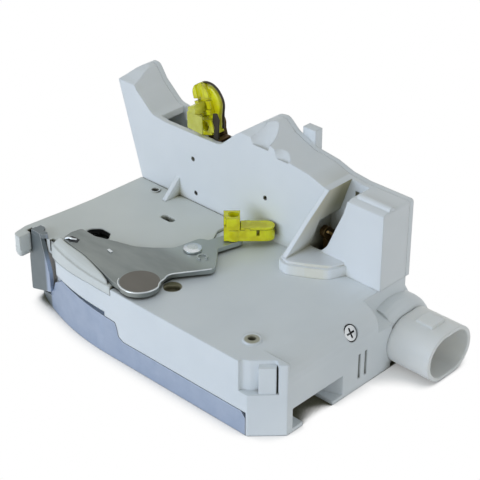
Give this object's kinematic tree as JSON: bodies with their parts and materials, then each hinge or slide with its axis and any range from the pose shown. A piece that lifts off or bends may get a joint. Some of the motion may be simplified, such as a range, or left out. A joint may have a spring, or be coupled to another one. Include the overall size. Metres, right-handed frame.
{
  "type": "vehicle door lock",
  "caption": "Side door latch with a lock actuator: a claw takes the striker bar, rod levers release and lock it, a plug socket feeds the motor.",
  "frame": {"origin": "a point near the middle of the face plate's outer flat face, 70 mm from the left end of the base and 33 mm from its front wall", "axes": "+X along the base towards the striker mouth and the plug socket, +Y from the front wall to the rear bay, +Z away from the face plate's outer face towards the levers"},
  "size_m": [0.1725, 0.1006, 0.0854],
  "materials": {
    "plated_steel_sheet": "zinc plated, satin",
    "lever_steel": "stamped steel, oiled",
    "pin_steel": "turned steel",
    "spring_wire": "drawn spring wire",
    "white_acetal": "moulded, fine satin",
    "cover_acetal": "moulded, fine satin",
    "black_polymer": "overmoulded",
    "buffer_rubber": "soft",
    "clip_yellow": "translucent yellow",
    "brown_steel": "brown passivated",
    "gear_acetal": "natural acetal",
    "motor_can": "drawn steel can",
    "tinned_brass": "stamped"
  },
  "bodies": {
    "lock_body": {"face_plate": "plated_steel_sheet", "latch_housing": "white_acetal", "top_cover": "cover_acetal", "back_plate": "plated_steel_sheet", "claw_pin": "pin_steel", "pawl_pin": "pin_steel", "striker_bumper": "buffer_rubber", "claw_spring": "spring_wire", "pawl_spring": "spring_wire", "ajar_switch": "black_polymer", "lever_rivet": "pin_steel", "release_spring": "spring_wire", "actuator_housing": "white_acetal", "actuator_cover": "white_acetal", "lock_lever_pin": "pin_steel", "gear_pin": "pin_steel", "lock_motor": "motor_can", "motor_lid": "white_acetal", "inner_lever_pin": "pin_steel", "inner_spring": "spring_wire", "connector_socket": "white_acetal", "connector_pins": "tinned_brass", "lead_frame": "tinned_brass", "housing_screws": "pin_steel"},
    "claw_unit": {"claw": "lever_steel", "claw_jacket": "black_polymer"},
    "pawl_unit": {"pawl": "lever_steel"},
    "plunger": {"switch_plunger": "gear_acetal"},
    "release_unit": {"release_lever": "lever_steel"},
    "lower_clip": {"rod_clip_lower": "clip_yellow"},
    "lock_unit": {"lock_lever": "brown_steel", "lock_sector": "gear_acetal"},
    "upper_clip": {"rod_clip_upper": "clip_yellow"},
    "gear_unit": {"drive_gear": "gear_acetal"},
    "worm_unit": {"motor_worm": "gear_acetal"},
    "inner_unit": {"inner_lever": "brown_steel"}
  },
  "joints": [
    {"name": "claw_turn", "type": "hinge", "parent": "lock_body", "child": "claw_unit", "pos_m": [0.018, 0.014, 0], "axis": [0, 0, -1], "range_deg": [0, 55], "stiffness_Nm_per_rad": 0.05, "springref_deg": -11.46, "deforming": ["claw_spring"]},
    {"name": "release_turn", "type": "hinge", "parent": "lock_body", "child": "release_unit", "pos_m": [-0.0071, 0.0061, 0], "axis": [0, 0, -1], "range_deg": [0, 10], "stiffness_Nm_per_rad": 0.3, "springref_deg": -5.73, "deforming": ["release_spring"]},
    {"name": "pawl_turn", "type": "hinge", "parent": "lock_body", "child": "pawl_unit", "pos_m": [-0.01, -0.0206, 0], "axis": [0, 0, 1], "range_deg": [0, 17.2], "deforming": ["pawl_spring"]},
    {"name": "plunger_slide", "type": "slide", "parent": "lock_body", "child": "plunger", "axis": [0, 1, 0], "range_m": [0, 0.0012], "stiffness_N_per_m": 300, "springref_m": -0.0004},
    {"name": "lower_clip_turn", "type": "hinge", "parent": "release_unit", "child": "lower_clip", "pos_m": [-0.002, 0.0242, 0], "axis": [0, 0, -1], "range_deg": [0, 60]},
    {"name": "lock_turn", "type": "hinge", "parent": "lock_body", "child": "lock_unit", "pos_m": [-0.02838, -0.033, 0.04719], "axis": [0, 1, 0], "range_deg": [-10, 10]},
    {"name": "gear_turn", "type": "hinge", "parent": "lock_body", "child": "gear_unit", "pos_m": [-0.004, -0.033, 0.0353], "axis": [0, 1, 0], "range_deg": [-44.5, 44.5]},
    {"name": "worm_turn", "type": "hinge", "parent": "lock_body", "child": "worm_unit", "pos_m": [-0.07, 0.048, 0.016], "axis": [1, 0, 0], "range_deg": [-1325, 1325]},
    {"name": "upper_clip_turn", "type": "hinge", "parent": "lock_unit", "child": "upper_clip", "pos_m": [-0.0335, -0.033, 0.0685], "axis": [0, -1, 0], "range_deg": [0, 30]},
    {"name": "inner_turn", "type": "hinge", "parent": "lock_body", "child": "inner_unit", "pos_m": [-0.07, 0.046, 0.0275], "axis": [1, 0, 0], "range_deg": [0, 20], "stiffness_Nm_per_rad": 0.05, "springref_deg": -5.73, "deforming": ["inner_spring"]}
  ],
  "couplings": [
    {"joint": "pawl_turn", "follows": "release_turn", "ratio": 1.7},
    {"joint": "gear_turn", "follows": "lock_turn", "ratio": -4.4},
    {"joint": "worm_turn", "follows": "lock_turn", "ratio": -132}
  ]
}
